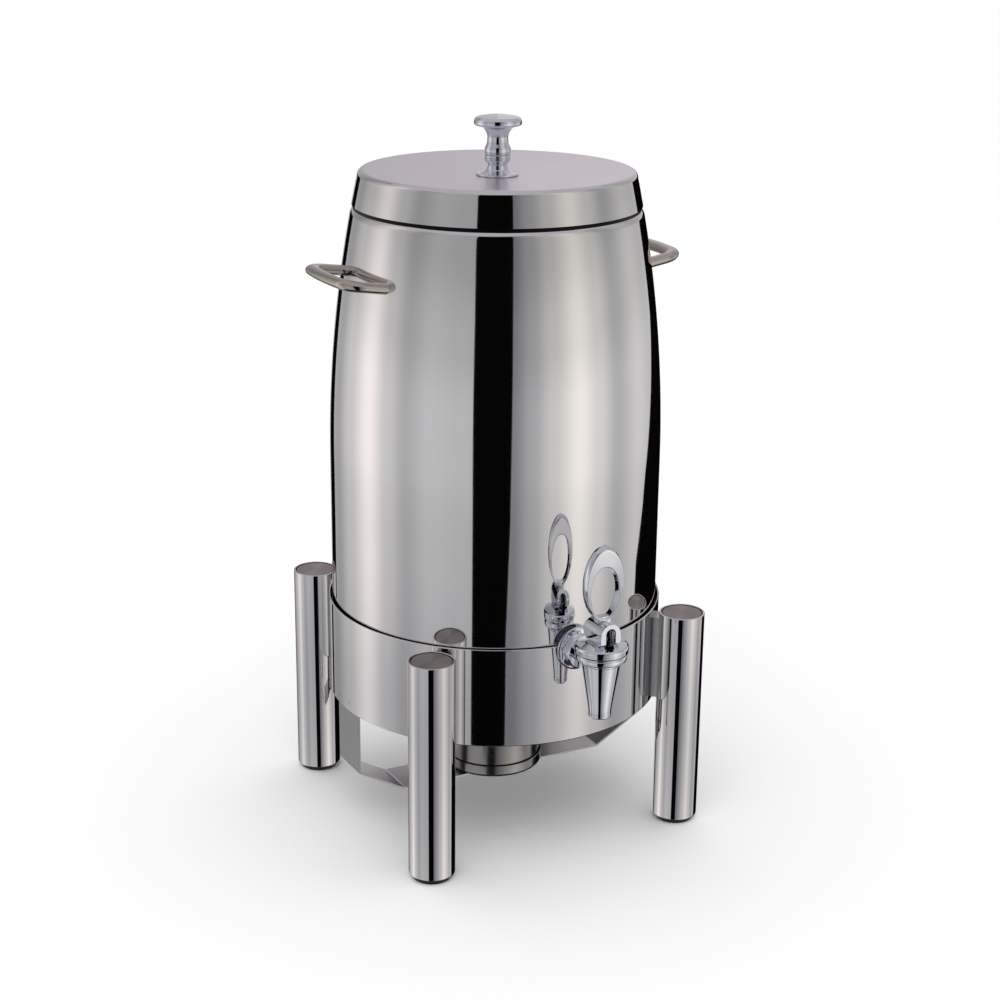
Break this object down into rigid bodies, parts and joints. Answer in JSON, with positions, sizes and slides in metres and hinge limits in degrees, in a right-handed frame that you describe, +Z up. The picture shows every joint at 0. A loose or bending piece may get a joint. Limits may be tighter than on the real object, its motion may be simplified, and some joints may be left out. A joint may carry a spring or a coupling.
{
  "type": "coffee urn",
  "caption": "Buffet coffee urn: mirror-polished barrel with lift-off lid, side handles and ring-lever tap, standing in a legged ring over a fuel-pot burner.",
  "frame": {"origin": "on the barrel's axis, at table level", "axes": "+Z up along the barrel's axis; the tap points to -Y; the handles point to -X and +X"},
  "size_m": [0.316, 0.3445, 0.5949],
  "materials": {
    "mirror_steel": "mirror-polished stainless steel sheet",
    "satin_cap_steel": "turned, satin-brushed stainless steel disc",
    "sheet_steel": "satin stainless steel strip and sheet",
    "burner_steel": "drawn stainless steel, lightly brushed",
    "vessel_steel": "satin stainless steel",
    "cast_handle_metal": "polished cast stainless steel",
    "plated_brass": "chrome-plated brass",
    "fastener_steel": "plain stainless steel",
    "spring_steel": "drawn spring wire",
    "silicone": "matt grey silicone",
    "black_rubber": "matt black rubber"
  },
  "bodies": {
    "stand": {"base_ring": "mirror_steel", "urn_shelf": "sheet_steel", "leg_1": "mirror_steel", "leg_2": "mirror_steel", "leg_3": "mirror_steel", "leg_4": "mirror_steel", "leg_cap_1": "satin_cap_steel", "leg_cap_2": "satin_cap_steel", "leg_cap_3": "satin_cap_steel", "leg_cap_4": "satin_cap_steel", "leg_foot_1": "black_rubber", "leg_foot_2": "black_rubber", "leg_foot_3": "black_rubber", "leg_foot_4": "black_rubber", "leg_spacer_1": "sheet_steel", "leg_spacer_2": "sheet_steel", "leg_spacer_3": "sheet_steel", "leg_spacer_4": "sheet_steel", "leg_bolts": "fastener_steel", "leg_nuts": "fastener_steel", "burner_strap": "sheet_steel", "strap_rivets": "fastener_steel", "burner_pan": "sheet_steel", "pan_rivets": "fastener_steel"},
    "burner": {"fuel_pot": "burner_steel", "fuel_pot_handle": "burner_steel", "lid_pivot_pin": "fastener_steel"},
    "burner_lid": {"fuel_pot_lid": "burner_steel"},
    "urn": {"barrel_shell": "mirror_steel", "inner_vessel": "vessel_steel", "centre_ring": "sheet_steel", "handle_left": "cast_handle_metal", "handle_right": "cast_handle_metal", "handle_backers": "sheet_steel", "handle_screws": "fastener_steel", "tap_shank": "plated_brass", "tap_cover_plate": "plated_brass", "tap_collar": "plated_brass", "tap_sleeve": "sheet_steel", "tap_washer_outer": "silicone", "tap_washer_inner": "silicone", "tap_lock_nut": "plated_brass", "tap_body": "plated_brass", "tap_bonnet": "plated_brass", "tap_spring": "spring_steel"},
    "stem": {"tap_stem": "fastener_steel", "tap_seat_plug": "silicone"},
    "lever": {"tap_lever": "plated_brass", "lever_pin": "fastener_steel"},
    "lid": {"lid_shell": "mirror_steel", "lid_liner": "sheet_steel", "knob_foot": "plated_brass", "knob_head": "plated_brass", "knob_screw": "fastener_steel", "knob_washer": "fastener_steel"}
  },
  "joints": [
    {"name": "urn_lift", "type": "slide", "parent": "stand", "child": "urn", "axis": [0, 0, 1], "range_m": [0, 0.06]},
    {"name": "lid_lift", "type": "slide", "parent": "urn", "child": "lid", "axis": [0, 0, 1], "range_m": [0, 0.06]},
    {"name": "stem_lift", "type": "slide", "parent": "urn", "child": "stem", "axis": [0, 0, 1], "range_m": [0, 0.0049], "deforming": ["tap_spring"]},
    {"name": "lever_tilt", "type": "hinge", "parent": "stem", "child": "lever", "pos_m": [0, -0.181, 0.21595], "axis": [1, 0, 0], "range_deg": [0, 35], "stiffness_Nm_per_rad": 0.5, "springref_deg": -11.46},
    {"name": "burner_lift", "type": "slide", "parent": "stand", "child": "burner", "axis": [0, 0, 1], "range_m": [0, 0.012]},
    {"name": "burner_lid_swing", "type": "hinge", "parent": "burner", "child": "burner_lid", "pos_m": [0, 0.0472, 0.0888], "axis": [0, 0, 1], "range_deg": [0, 120]}
  ],
  "couplings": [
    {"joint": "stem_lift", "follows": "lever_tilt", "m_per_rad": 0.008}
  ]
}
